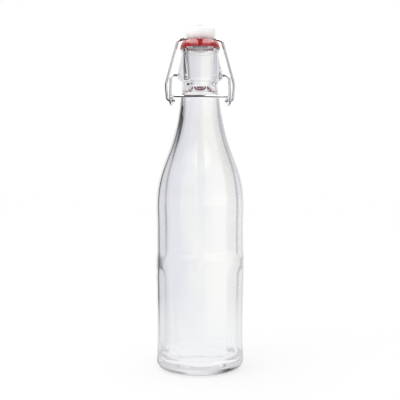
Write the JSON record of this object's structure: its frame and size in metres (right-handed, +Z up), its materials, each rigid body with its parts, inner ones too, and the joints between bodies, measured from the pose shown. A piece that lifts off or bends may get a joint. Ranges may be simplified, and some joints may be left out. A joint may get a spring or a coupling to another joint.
{
  "type": "swing-top bottle",
  "caption": "Clear panelled glass bottle with a wire swing-top closure: white stopper, red gasket, bail and lever.",
  "frame": {"origin": "middle of the flat ring that the bottle stands on", "axes": "+Z up along the bottle's axis, -Y towards the lever's bow, X along the closure's hinge axes"},
  "size_m": [0.0688, 0.0688, 0.266],
  "materials": {
    "clear_glass": "clear, fire polished",
    "white_plastic": "glossy white",
    "red_rubber": "smooth, slightly glossy",
    "wire": "bright drawn steel wire"
  },
  "bodies": {
    "glass_bottle": {"glass_bottle": "clear_glass"},
    "lever": {"lever": "wire"},
    "bail": {"bail": "wire"},
    "stopper": {"stopper": "white_plastic", "gasket": "red_rubber"}
  },
  "joints": [
    {"name": "lever_hinge", "type": "hinge", "parent": "glass_bottle", "child": "lever", "pos_m": [0, 0, 0.2284], "axis": [-1, 0, 0], "range_deg": [0, 90]},
    {"name": "bail_hinge", "type": "hinge", "parent": "lever", "child": "bail", "pos_m": [0, 0, 0.2086], "axis": [-1, 0, 0], "range_deg": [-56, 0]},
    {"name": "stopper_hinge", "type": "hinge", "parent": "bail", "child": "stopper", "pos_m": [0, 0, 0.2567], "axis": [-1, 0, 0], "range_deg": [-35, 0]}
  ],
  "couplings": [
    {"joint": "bail_hinge", "follows": "lever_hinge", "ratio": -0.6166},
    {"joint": "stopper_hinge", "follows": "lever_hinge", "ratio": -0.3834}
  ]
}
